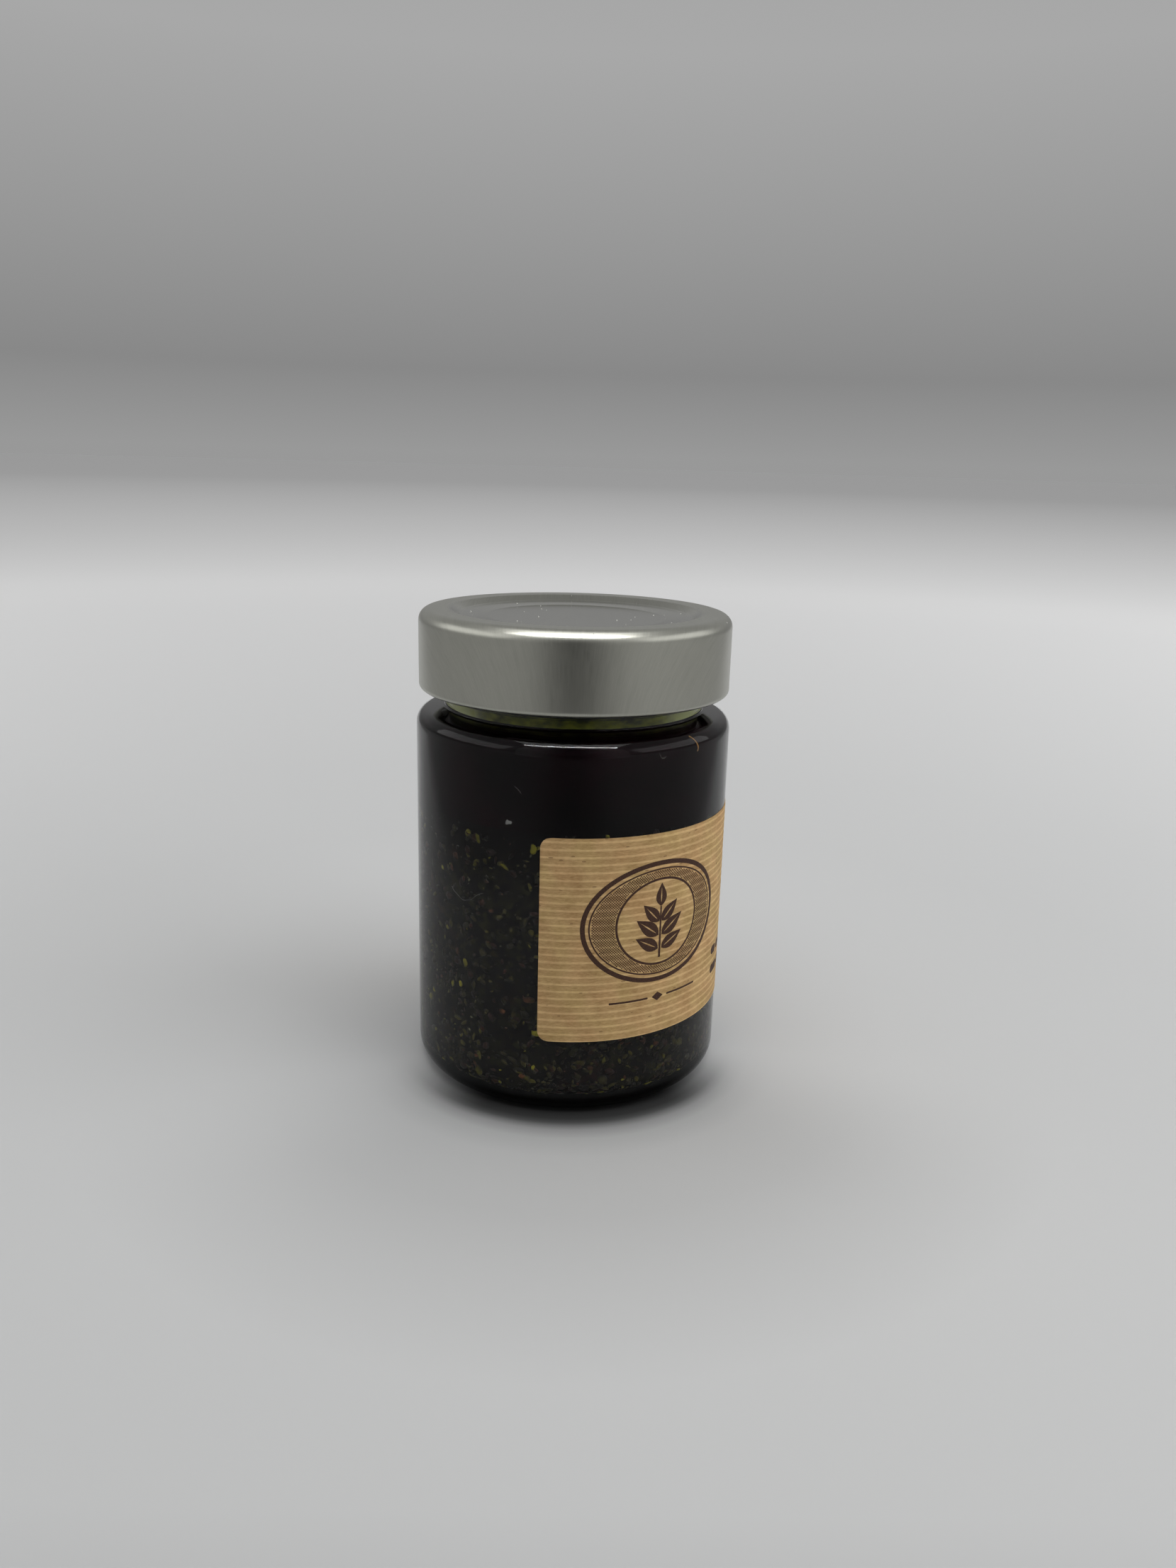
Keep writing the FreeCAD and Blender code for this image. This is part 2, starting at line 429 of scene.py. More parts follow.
oil_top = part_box("oil")[1].z
pesto_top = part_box("pesto")[1].z
reach = 0.04 * mm
creep = 0.9 * mm
bore_foot = shoulder_height(bore_foot_radius, wall)
bore_spread = (bore_rim_radius - bore_foot_radius) / (rim_height - bore_foot)
bore_at_oil = bore_foot_radius + bore_spread * (oil_top - bore_foot) + reach


def wet(corners):
    """The outline of what fills the glass, moved just into its wall."""
    return [(r + reach if r else 0, z + (reach if z > neck_foot / 2 else -reach), radius)
            for r, z, radius in corners]


oil = turned("oil_pool", rounded([
    (0, pesto_top, 0),
    (inner_radius + reach, pesto_top, 0),
    *wet(inside[1::-1]),
    (bore_at_oil, oil_top + creep, 0),
    (bore_at_oil - 0.1 * mm, oil_top, 0.09 * mm),
    (bore_at_oil - 1.2 * mm, oil_top, 0.5 * mm),
    (0, oil_top, 0),
]))


def grey(value):
    """Linear grey of a given value."""
    return (value, value, value, 1)


def ramp(value, *stops):
    """A colour by value, through (place, colour) stops; a plain number stands for a grey."""
    made = add(tree_of(value), "ShaderNodeValToRGB", {0: value})
    elements = made.color_ramp.elements
    stops = [(place, grey(shade) if isinstance(shade, float) else shade)
             for place, shade in stops]
    for element, (place, shade) in zip(elements, (stops[0], stops[-1])):
        element.position = place
        element.color = shade
    for place, shade in stops[1:-1]:
        elements.new(place).color = shade
    return made.outputs[0]


oil_skin, shader = new_material("dark_oil", Roughness=0.5, Specular_IOR_Level=0.0)
cloud = noise(on_object(shader), 90.0, 3.0)
paint(shader, ramp(cloud, (0.35, (0.0012, 0.0008, 0.0010, 1)),
                   (0.75, (0.0058, 0.0014, 0.0024, 1))))
oil.data.materials.append(oil_skin)

oil_surface, shader = new_material(
    "oil_surface", Base_Color=(0.012, 0.011, 0.002, 1), Roughness=0.03, IOR=1.47)
bump(shader, noise(on_object(shader), 60.0), 0.1, 0.1 * mm)
oil.data.materials.append(oil_surface)
for face in oil.data.polygons:
    if face.center.z > oil_top - reach and math.hypot(*face.center.xy) < bore_at_oil - reach:
        face.material_index = 1
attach(oil, "root")
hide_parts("oil")

# ---- Pesto ------------------------------------------------------------------------------
# Chopped herbs, seeds and dried tomato, settled in the oil. The mass is dark between the
# bits that lie against the glass, with dim olive and dark red patches.

pesto = turned("pesto_core", rounded([
    *wet(inside[:1:-1]),
    (inner_radius + reach, pesto_top, 0),
    (0, pesto_top, 0),
]))

pesto_mass, shader = new_material("pesto_mass", Roughness=0.8, Specular_IOR_Level=0.0)
here = on_object(shader)
settled = ease(xyz(here)[2], pesto_top, pesto_top - 14 * mm)
crumb = xyz(pattern("Voronoi", here, 900.0)["Color"])[0]
ruddy = fade(noise(here, 110.0, 3.0), 0.52, 0.66)
hue = blend(ruddy, colour(31, 30, 17), colour(35, 16, 16))
strength = calc("MULTIPLY", settled, calc("POWER", crumb, 3.0))
paint(shader, blend(strength, (0.0022, 0.0018, 0.0020, 1), hue))
pesto.data.materials.append(pesto_mass)
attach(pesto, "root")
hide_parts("pesto")

# ---- Bits in the pesto ------------------------------------------------------------------
# Seed chips, leaf flakes, dried tomato and pale crumbs, each cut by a chopper into its own
# shape. They lie flat against the glass, sunk in the mass, and thin out towards the oil.


def chance(seed, low, high, salt):
    """A random number for each point."""
    inputs = {2: low, 3: high, "Seed": calc("ADD", seed, salt)}
    return add(tree_of(seed), "FunctionNodeRandomValue", inputs).outputs[1]


def scaled(vector, by):
    """The vector made longer or shorter."""
    return add(tree_of(vector), "ShaderNodeVectorMath", {0: vector, "Scale": by},
               operation="SCALE").outputs[0]


def rotation(x, y, z):
    """A turn by these angles about the three axes."""
    angles = joined(x, y, z)
    return add(tree_of(angles), "FunctionNodeEulerToRotation", {0: angles}).outputs[0]


def copies(points, shape, **inputs):
    """One copy of the shape at each point."""
    inputs = {"Points": points, "Instance": shape, **inputs}
    return add(tree_of(points), "GeometryNodeInstanceOnPoints", inputs).outputs[0]


def ball(tree, facets):
    """A faceted ball, 1 across."""
    return add(tree, "GeometryNodeMeshIcoSphere", {"Radius": 0.5, "Subdivisions": facets}).outputs[0]


bits_tree, size = new_tree("bits_on_the_glass", Density=float, Length=float, Width=float,
                           Thickness=float, Roughness=float, Clumps=float, Facets=int,
                           Seed=int, Material=str)
seed = size["Seed"]
where = on_mesh(bits_tree)
x, y, z = xyz(where)
thinning = ease(z, pesto_top, pesto_top - 16 * mm)
gathered = fade(noise(where, size["Clumps"]), 0.38, 0.62, 0.15)
crowd = calc("MULTIPLY", thinning, gathered)
spread = add(bits_tree, "GeometryNodeDistributePointsOnFaces", {
    "Mesh": size["Geometry"], "Density": calc("MULTIPLY", crowd, size["Density"]),
    "Selection": calc("GREATER_THAN", length(x, y), bearing_ring_radius), "Seed": seed}).outputs
sunk = scaled(spread["Normal"], chance(seed, -0.05 * mm, 0.10 * mm, 1.0))
lean = rotation(chance(seed, -0.3, 0.3, 2.0), chance(seed, -0.3, 0.3, 3.0),
                chance(seed, -3.2, 3.2, 4.0))
lying = add(bits_tree, "FunctionNodeRotateRotation", {
    "Rotation": spread["Rotation"], "Rotate By": lean}, rotation_space="LOCAL").outputs[0]
grown = calc("MULTIPLY_ADD", calc("POWER", chance(seed, 0.0, 1.0, 5.0), 2.2), 0.9, 0.22)
width = calc("MULTIPLY", calc("MULTIPLY", size["Width"], grown), chance(seed, 0.5, 1.3, 6.0))
bits = copies(then("SetPosition", spread[0], {"Offset": sunk}), ball(bits_tree, size["Facets"]),
              Rotation=lying,
              Scale=joined(calc("MULTIPLY", size["Length"], grown), width, size["Thickness"]))
for name, salt in (("tint", 7.0), ("depth", 8.0)):
    bits = then("StoreNamedAttribute", bits, {"Name": name, "Value": chance(seed, 0.0, 1.0, salt)},
                data_type="FLOAT", domain="INSTANCE")
ragged = pattern("Noise", where, 1300.0, Detail=2.0)["Color"]
centred = add(bits_tree, "ShaderNodeVectorMath", {0: ragged, 1: (0.5, 0.5, 0.5)},
              operation="SUBTRACT").outputs[0]
chopped = then("SetPosition", then("RealizeInstances", bits),
               {"Offset": scaled(centred, size["Roughness"])})
end_tree(then("SetShadeSmooth", chopped), size["Material"])


def attribute(shader, name, output):
    """A value that the mesh keeps under a name."""
    return add(shader.id_data, "ShaderNodeAttribute", attribute_name=name).outputs[output]


def bit_material(name, dull, plain, bright, dimmest):
    """A colour for each bit from dull to bright, dimmed by how deep in the oil it lies."""
    material, shader = new_material(name, Roughness=0.6, Specular_IOR_Level=0.1)
    here = on_object(shader)
    mottle = calc("MULTIPLY_ADD", noise(here, 2600.0), 0.5, -0.25)
    tint = calc("ADD", attribute(shader, "tint", "Fac"), mottle)
    hue = ramp(tint, (0.0, dull), (0.6, plain), (1.0, bright))
    depth = calc("POWER", attribute(shader, "depth", "Fac"), 1.6)
    x, y, z = xyz(here)
    outwards = calc("SUBTRACT", length(x, y), inner_radius - inner_heel_radius)
    downwards = calc("SUBTRACT", z, floor_height + inner_heel_radius)
    past_wall = length(calc("MAXIMUM", 0.0, outwards), calc("MINIMUM", 0.0, downwards))
    veil = ease(past_wall, inner_heel_radius + reach, inner_heel_radius + 0.32 * mm)
    lit = calc("MULTIPLY", fade(depth, 0.0, 1.0, dimmest), veil)
    paint(shader, blend(lit, (0.0015, 0.0013, 0.0014, 1), hue))
    return material


bit_kinds = {
    "seed_chips": dict(
        sizes=dict(Density=3.4e5, Length=2.2 * mm, Width=1.2 * mm, Thickness=0.50 * mm,
                   Roughness=0.7 * mm, Clumps=150.0, Facets=2, Seed=11),
        look=dict(dull=colour(54, 49, 20), plain=colour(81, 75, 26),
                  bright=colour(142, 135, 38), dimmest=0.15)),
    "leaf_flakes": dict(
        sizes=dict(Density=8.5e5, Length=2.4 * mm, Width=1.6 * mm, Thickness=0.46 * mm,
                   Roughness=0.8 * mm, Clumps=120.0, Facets=1, Seed=23),
        look=dict(dull=colour(37, 34, 21), plain=colour(53, 49, 27),
                  bright=colour(84, 79, 33), dimmest=0.2)),
    "tomato_flakes": dict(
        sizes=dict(Density=5.0e5, Length=2.4 * mm, Width=1.6 * mm, Thickness=0.42 * mm,
                   Roughness=0.7 * mm, Clumps=90.0, Facets=1, Seed=37),
        look=dict(dull=colour(40, 24, 20), plain=colour(56, 31, 23),
                  bright=colour(90, 55, 30), dimmest=0.2)),
    "pale_crumbs": dict(
        sizes=dict(Density=5.5e5, Length=0.9 * mm, Width=0.5 * mm, Thickness=0.38 * mm,
                   Roughness=0.2 * mm, Clumps=200.0, Facets=1, Seed=53),
        look=dict(dull=colour(41, 41, 35), plain=colour(62, 61, 51),
                  bright=colour(128, 126, 95), dimmest=0.1)),
}
for name, kind in bit_kinds.items():
    bits = bpy.data.objects.new(name, pesto.data)
    scene.collection.objects.link(bits)
    grow(bits, bits_tree, Material=bit_material(name, **kind["look"]), **kind["sizes"])
    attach(bits, "root")

# ---- Lid --------------------------------------------------------------------------------
# A deep twist-off lid, pressed from bare tinned sheet that was brushed one way while flat,
# with a stepped panel. Its lower edge is rolled in and pressed into four lugs.

lid_low, lid_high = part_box("lid")
lid_radius = lid_high.x
lid_top = lid_high.z
lid_bottom = lid_low.z
sheet = 0.3 * mm
curl_radius = 1.05 * mm
curl_turn = math.radians(250)
curl_steps = 20
panel_radius = bore_rim_radius + 0.2 * mm
step_foot = panel_radius - 1.9 * mm
step_depth = 1.0 * mm
step_radius = 0.7 * mm
ledge_width = 5.2 * mm
ledge_drop = 0.35 * mm
panel_floor = lid_top - step_depth - ledge_drop

lid_line = rounded([
    (0, panel_floor, 0),
    (step_foot - ledge_width, panel_floor, 6 * mm),
    (step_foot, lid_top - step_depth, step_radius),
    (panel_radius, lid_top, step_radius),
    (lid_radius, lid_top, 2.3 * mm),
    (lid_radius, lid_bottom + curl_radius, 0),
])
curl_centre = Vector((lid_radius - curl_radius, lid_bottom + curl_radius))
for step in range(1, curl_steps + 1):
    angle = -curl_turn * step / curl_steps
    lid_line.append(curl_centre + Vector((math.cos(angle), math.sin(angle))) * curl_radius)
under_line = []
for i, point in enumerate(lid_line):
    along = lid_line[min(i + 1, len(lid_line) - 1)] - lid_line[max(i - 1, 0)]
    under_line.append(point + Vector((along.y, -along.x)).normalized() * sheet)
under_line[0].x = 0
full_line = lid_line + under_line[::-1]
lid = turned("lid_shell", full_line)

# Where each point of the pressed lid lay on the flat sheet, along and across its brushing.
path = [0.0]
for before, after in zip(full_line, full_line[1:]):
    path.append(path[-1] + (after - before).length)
flat = lid.data.attributes.new("sheet", "FLOAT_VECTOR", "POINT")
for i, vertex in enumerate(lid.data.vertices):
    run = path[1 + (i - 2) // points_round] if i > 1 else path[-i]
    angle = math.atan2(vertex.co.y, vertex.co.x)
    flat.data[i].vector = (run * math.cos(angle), run * math.sin(angle), 0)

metal, shader = new_material("brushed_tin", Metallic=1.0, Roughness=0.3)
flat = attribute(shader, "sheet", "Vector")
x, y, z = xyz(flat)
streaks = noise(flat, (5200.0, 230.0, 1.0), 3.0, Roughness=0.6)
bands = noise(flat, (900.0, 60.0, 1.0))
stain = noise(on_object(shader), 70.0)
shade = calc("MULTIPLY_ADD", streaks, 0.36, calc(
    "MULTIPLY_ADD", bands, 0.16, calc("MULTIPLY_ADD", stain, 0.12, 0.12)))
paint(shader, blend(shade, (0.26, 0.26, 0.225, 1), (0.61, 0.61, 0.55, 1)))
worn = fade(length(x, y), panel_radius - 0.4 * mm, panel_radius + 1.0 * mm, 0.42)
paint(shader, calc("MULTIPLY", fade(streaks, 0.0, 1.0, 0.27, 0.37), worn), "Roughness")
bump(shader, streaks, 0.25, 0.02 * mm)

lug_count = 4
lug_angle = math.radians(18)
lug_setback = math.radians(19)
lug_nose = finish_radius + 0.2 * mm
lug_root = lid_radius - curl_radius
lug_top = lid_bottom + 2 * curl_radius
lug_steps = 8
lug_line = rounded([
    (lug_root, lid_bottom + sheet, 0),
    (lug_nose, lid_bottom + sheet, 0.6 * mm),
    (lug_nose, lug_top, 0.6 * mm),
    (lug_root, lug_top, 0),
], steps=5)
lug_points = []
lug_faces = []
for step in range(lug_steps + 1):
    angle = -lug_setback - lug_angle / 2 + lug_angle * step / lug_steps
    first = len(lug_points)
    ring = [first + i for i in range(len(lug_line))]
    lug_points += [(p.x * math.cos(angle), p.x * math.sin(angle), p.y) for p in lug_line]
    if step in (0, lug_steps):
        lug_faces.append(ring)
    if step:
        for i, here in enumerate(ring):
            on = ring[(i + 1) % len(ring)]
            lug_faces.append((here, on, on - len(ring), here - len(ring)))
lugs = shaped("lid_lugs", lug_points, lug_faces)

tree, size = new_tree("lugs_round_the_lid", Count=int)
turns = add(tree, "GeometryNodeMeshLine", {"Count": size["Count"], "Offset": (0, 0, 0)})
place = add(tree, "GeometryNodeInputIndex").outputs[0]
share = calc("DIVIDE", 2 * math.pi, size["Count"])
ring = copies(turns.outputs[0], size["Geometry"],
              Rotation=rotation(0.0, 0.0, calc("MULTIPLY", place, share)))
end_tree(then("SetShadeSmooth", then("RealizeInstances", ring)))
grow(lugs, tree, Count=lug_count)
for piece in (lid, lugs):
    piece.data.materials.append(metal)
    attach(piece, "root")
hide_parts("lid")

# ---- Seal -------------------------------------------------------------------------------
# A ring of soft pale compound, poured into the channel on the lid's inner side and cured
# there. The lugs pull the lid down, and the glass rim presses into the ring.


def mottled(name, scale, dark, pale, start=0.0, end=1.0, **finish):
    """A material that varies softly between two colours."""
    material, shader = new_material(name, **finish)
    share = fade(noise(on_object(shader), scale), start, end)
    paint(shader, blend(share, dark, pale))
    return material


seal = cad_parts["seal_ring"]
seal.data.materials.clear()
seal.data.materials.append(mottled(
    "seal_compound", 300.0, colour(196, 192, 180), colour(222, 219, 208), Roughness=0.55))

# ---- Label ------------------------------------------------------------------------------
# A wrapped label of ribbed brown kraft paper with rounded corners, glued to the glass. Its
# fine raised ribs run round the jar and are paler than the paper between them.

label_low, label_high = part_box("label")
label_bottom = label_low.z
label_height = label_high.z - label_bottom
label_length = 140 * mm
label_start = math.radians(-100)
corner_radius = 2 * mm
paper = 0.085 * mm
rib_rise = 0.02 * mm
rib_pitch = 1.45 * mm


def on_rib(up, pitch, foot, crest):
    """1 on the crest of a rib and 0 between ribs, with both given in shares of the pitch."""
    from_rib = calc("ABSOLUTE", calc("WRAP", calc("DIVIDE", up, pitch), 0.5, -0.5))
    return ease(from_rib, foot, crest)


kraft, shader = new_material("kraft_paper", Roughness=0.75, Specular_IOR_Level=0.25)
flat = attribute(shader, "paper", "Vector")
rib = on_rib(xyz(flat)[1], rib_pitch, 0.24, 0.05)
fibres = noise(flat, (900.0, 3600.0, 1.0), 4.0, Roughness=0.7)
pulp = noise(flat, 240.0, 3.0)
wear = calc("MULTIPLY_ADD", fibres, 0.9, calc("MULTIPLY_ADD", pulp, 0.6, -0.55))
mixed = calc("MULTIPLY_ADD", rib, 0.34, calc("MULTIPLY_ADD", wear, 1.1, 0.06))
brown = blend(mixed, colour(149, 117, 73), colour(224, 190, 137))
casts = ramp(noise(flat, 170.0, 1.0), (0.36, (0.93, 1.0, 0.86, 1)), (0.5, 1.0),
             (0.64, (1.0, 0.90, 0.90, 1)))
cast = blend(0.4, brown, casts, "MULTIPLY")
flecks = pattern("Voronoi", flat, (500.0, 1500.0, 1.0))
fleck = calc("MULTIPLY", calc("GREATER_THAN", xyz(flecks["Color"])[0], 0.93),
             calc("LESS_THAN", flecks["Distance"], 0.22))
paint(shader, blend(calc("MULTIPLY", fleck, 0.5), cast, colour(92, 62, 36)))
bump(shader, fibres, 0.3, 0.02 * mm)

tree, size = new_tree("ribbed_label", Length=float, Height=float, Paper=float, Rise=float,
                      Pitch=float, Corner=float, Around=int, Upwards=int, Material=str)
block = add(tree, "GeometryNodeMeshCube", {
    "Size": (1, 1, 1), "Vertices X": size["Around"], "Vertices Y": 2,
    "Vertices Z": size["Upwards"]})
x, y, z = xyz(on_mesh(tree))
up = calc("MULTIPLY", calc("ADD", z, 0.5), size["Height"])
from_edge = calc("MINIMUM", up, calc("SUBTRACT", size["Height"], up))
in_corner = calc("MAXIMUM", calc("SUBTRACT", size["Corner"], from_edge), 0.0)
inset = calc("SUBTRACT", size["Corner"], calc("SQRT", calc(
    "SUBTRACT", calc("POWER", size["Corner"], 2.0), calc("POWER", in_corner, 2.0))))
run = calc("MULTIPLY_ADD", inset, -2.0, size["Length"])
along = calc("MULTIPLY_ADD", calc("ADD", x, 0.5), run, inset)
rib = on_rib(up, size["Pitch"], 0.28, 0.02)
raised = calc("MULTIPLY_ADD", rib, size["Rise"], size["Paper"])
spread = joined(along, up, calc("MULTIPLY", raised, calc("LESS_THAN", y, 0.0)))
end_tree(then("SetPosition", block.outputs[0], {"Position": spread}), size["Material"])


def wrap(mesh, lift=0.0):
    """Bends a flat mesh round the jar: x runs round the side, y up and z outwards."""
    for vertex in mesh.vertices:
        angle = label_start + vertex.co.x / body_radius
        r = body_radius + lift + vertex.co.z
        vertex.co = (r * math.cos(angle), r * math.sin(angle), label_bottom + vertex.co.y)


label = placed("label_paper", bpy.data.meshes.new("label_paper"))
grow(label, tree, Length=label_length, Height=label_height, Paper=paper, Rise=rib_rise,
     Pitch=rib_pitch, Corner=corner_radius, Around=160, Upwards=221, Material=kraft)
flat = label.data.attributes.new("paper", "FLOAT_VECTOR", "POINT")
for i, vertex in enumerate(label.data.vertices):
    flat.data[i].vector = vertex.co
wrap(label.data)
smoothed(label.data)
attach(label, "root")
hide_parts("label")

# ---- Print ------------------------------------------------------------------------------
# One dark brown ink: an oval badge with a double line and a field of halftone dots round a
# herb sprig, a rule under it, and rows of plain bars in place of words.

ink_depth = 0.004 * mm
ink_lift = paper + rib_rise + 0.002 * mm
badge_along = 23.5 * mm
badge_up = 22.6 * mm
slice_width = 1.0 * mm
ink = mottled("brown_ink", 4200.0, colour(50, 28, 18), colour(72, 45, 29), 0.35, 0.75,
              Roughness=0.65, Specular_IOR_Level=0.3)


def oval(middle_along, middle_up, half_along, half_up, count=96):
    """Points round an oval."""
    turns = [2 * math.pi * i / count for i in range(count)]
    return [(middle_along + half_along * math.cos(turn), middle_up + half_up * math.sin(turn))
            for turn in turns]


def leaf(foot, direction, length, width, count=14):
    """Points round a pointed leaf that grows from its foot."""
    ahead = Vector((math.cos(direction), math.sin(direction)))
    aside = Vector((-ahead.y, ahead.x))
    half = []
    for i in range(count + 1):
        part = i / count
        bulge = math.sin(math.pi * part ** 0.8) * (1 - 0.25 * part)
        half.append((part * length, bulge * width / 2))
    line = half + [(along, -out) for along, out in half[-2:0:-1]]
    return [tuple(Vector(foot) + ahead * along + aside * out) for along, out in line]


def bar(left, low, length, height):
    """Points round a bar with cut corners."""
    cut = height * 0.25
    right = left + length
    high = low + height
    return [(left + cut, low), (right - cut, low), (right, low + cut), (right, high - cut),
            (right - cut, high), (left + cut, high), (left, high - cut), (left, low + cut)]


def inked(name, outlines):
    """A thin print of closed outlines, wrapped on the label; one inside another is a hole."""
    curve = bpy.data.curves.new(name, "CURVE")
    curve.dimensions = "2D"
    curve.fill_mode = "BOTH"
    curve.extrude = ink_depth / 2
    for outline in outlines:
        spline = curve.splines.new("POLY")
        spline.points.add(len(outline) - 1)
        spline.use_cyclic_u = True
        for point, (along, up) in zip(spline.points, outline):
            point.co = (along, up, 0, 1)
    flat = bpy.data.meshes.new_from_object(bpy.data.objects.new(name + "_line", curve))
    shell = bmesh.new()
    shell.from_mesh(flat)
    bmesh.ops.remove_doubles(shell, verts=shell.verts, dist=ink_depth / 10)
    low = min(vertex.co.x for vertex in shell.verts)
    high = max(vertex.co.x for vertex in shell.verts)
    for i in range(1, int((high - low) / slice_width) + 1):
        everything = shell.verts[:] + shell.edges[:] + shell.faces[:]
        bmesh.ops.bisect_plane(shell, geom=everything, dist=1e-9, plane_no=(1, 0, 0),
                               plane_co=(low + i * slice_width, 0, 0))
    shell.to_mesh(flat)
    shell.free()
    wrap(flat, ink_lift)
    finish_print(placed(name, flat))


def finish_print(piece):
    """Puts the piece in ink, on the label."""
    piece.data.shade_flat()
    piece.data.materials.clear()
    piece.data.materials.append(ink)
    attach(piece, "root")


badge_half = Vector((16.0, 12.0)) * mm
field_outer = badge_half - Vector((2.0, 2.0)) * mm
medal_half = Vector((9.0, 8.2)) * mm
badge = [oval(badge_along, badge_up, badge_half.x - edge * mm, badge_half.y - edge * mm)
         for edge in (0.0, 0.9, 1.5, 1.8)]
badge += [oval(badge_along, badge_up, medal_half.x + edge * mm, medal_half.y + edge * mm)
          for edge in (0.0, 0.45)]
inked("label_badge", badge)

stem_foot = (badge_along, badge_up - 7.2 * mm)
stem_leaves = [(0.16, 62, 5.6, 2.9), (0.42, 54, 6.1, 3.1), (0.68, 44, 5.2, 2.8)]
stem_length = 10.2 * mm
stem_width = 0.5 * mm
sprig = [[(stem_foot[0] - stem_width / 2, stem_foot[1]),
          (stem_foot[0] + stem_width / 2, stem_foot[1]),
          (stem_foot[0] + stem_width / 3, stem_foot[1] + stem_length),
          (stem_foot[0] - stem_width / 3, stem_foot[1] + stem_length)]]
for share, lean, long, wide in stem_leaves:
    foot = Vector((stem_foot[0], stem_foot[1] + share * stem_length))
    for side in (-1, 1):
        direction = math.radians(90 + side * lean)
        outward = Vector((math.cos(direction), math.sin(direction)))
        root = foot + outward * 0.4 * mm
        sprig.append(leaf(root, direction, long * mm, wide * mm))
        sprig.append(leaf(root + outward * 0.7 * mm, direction, (long - 1.6) * mm, 0.3 * mm))
crown = (stem_foot[0], stem_foot[1] + stem_length + 0.02 * mm)
sprig.append(leaf(crown, math.pi / 2, 4.6 * mm, 2.7 * mm))
sprig.append(leaf((crown[0], crown[1] + 0.7 * mm), math.pi / 2, 3.0 * mm, 0.28 * mm))
inked("label_sprig", sprig)

tree, size = new_tree("halftone_field", Pitch=float, Radius=float, Depth=float, Rows=int,
                      Outer_x=float, Outer_y=float, Inner_x=float, Inner_y=float)
span = calc("MULTIPLY", size["Pitch"], calc("SUBTRACT", size["Rows"], 1.0))
grid = add(tree, "GeometryNodeMeshGrid", {
    "Size X": span, "Size Y": span, "Vertices X": size["Rows"], "Vertices Y": size["Rows"]})
askew = then("Transform", grid.outputs[0], {"Rotation": (0, 0, math.pi / 4)})
x, y, z = xyz(on_mesh(tree))


def oval_reach(edge):
    """How far a point lies out on an oval, from 0 at its middle to 1 on its line."""
    across = calc("DIVIDE", x, size[edge + "_x"])
    upwards = calc("DIVIDE", y, size[edge + "_y"])
    return calc("ADD", calc("POWER", across, 2.0), calc("POWER", upwards, 2.0))


in_field = calc("MULTIPLY", calc("LESS_THAN", oval_reach("Outer"), 1.0),
                calc("GREATER_THAN", oval_reach("Inner"), 1.0))
dot = add(tree, "GeometryNodeMeshCylinder", {
    "Vertices": 8, "Radius": size["Radius"], "Depth": size["Depth"]})
end_tree(then("RealizeInstances", copies(askew, dot.outputs[0], Selection=in_field)), ink)
dots = placed("label_dots", bpy.data.meshes.new("label_dots"))
grow(dots, tree, Pitch=0.36 * mm, Radius=0.15 * mm, Depth=ink_depth, Rows=110,
     Outer_x=field_outer.x, Outer_y=field_outer.y,
     Inner_x=medal_half.x + 0.6 * mm, Inner_y=medal_half.y + 0.6 * mm)
for vertex in dots.data.vertices:
    vertex.co += Vector((badge_along, badge_up, 0))
wrap(dots.data, ink_lift)
smoothed(dots.data)
finish_print(dots)

rule_up = 7.4 * mm
bars = [[(badge_along - 1.3 * mm, rule_up), (badge_along, rule_up - 0.9 * mm),
         (badge_along + 1.3 * mm, rule_up), (badge_along, rule_up + 0.9 * mm)]]
for left in (-10.2 * mm, 2.2 * mm):
    bars.append(bar(badge_along + left, rule_up - 0.2 * mm, 8 * mm, 0.4 * mm))
words = random.Random(4)
text_rows = [(41.6, 10.0, 30.0, 1.8), (41.6, 5.9, 26.0, 1.8), (50.0, 27.6, 22.0, 0.8),
             (50.0, 25.8, 21.0, 0.8), (50.0, 24.0, 22.0, 0.8), (50.0, 22.2, 12.0, 0.8)]
for start, up, run, height in text_rows:
    at = start
    while at < start + run:
        word = words.uniform(1.6, 4.2) * height ** 0.5
        bars.append(bar(at * mm, up * mm, word * mm, height * mm))
        at += word + 0.6 * height ** 0.5
inked("label_bars", bars)

# ---- Dust and lint ----------------------------------------------------------------------
# Specks of dust on the lid's sunken panel, and on the glass a scrap of lint and a few fine
# fibres. A shred of tomato skin has stuck inside the shoulder.

tree, size = new_tree("dust", Density=float, Grain=float, Below=float, Seed=int, Material=str)
faces_up = calc("GREATER_THAN", xyz(add(tree, "GeometryNodeInputNormal").outputs[0])[2], 0.7)
low_down = calc("LESS_THAN", xyz(on_mesh(tree))[2], size["Below"])
spread = add(tree, "GeometryNodeDistributePointsOnFaces", {
    "Mesh": size["Geometry"], "Selection": calc("MULTIPLY", faces_up, low_down),
    "Density": size["Density"], "Seed": size["Seed"]}).outputs
bulk = calc("POWER", chance(size["Seed"], 0.0, 1.0, 1.0), 2.0)
specks = copies(spread[0], ball(tree, 1), Rotation=spread["Rotation"],
                Scale=calc("MULTIPLY", size["Grain"], calc("MULTIPLY_ADD", bulk, 0.8, 0.2)))
end_tree(then("RealizeInstances", specks), size["Material"])

lint = mottled("pale_lint", 3000.0, colour(150, 150, 146), colour(215, 215, 212), Roughness=0.9)
dust_cut = lid_top - 2 * mm
top_rings = [point for point in lid_line if point.y > dust_cut]
dust = turned("dust", top_rings + [Vector((0, dust_cut))])
grow(dust, tree, Density=3.0e4, Grain=0.36 * mm, Below=lid_top - 0.25 * mm, Seed=5,
     Material=lint)
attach(dust, "root")


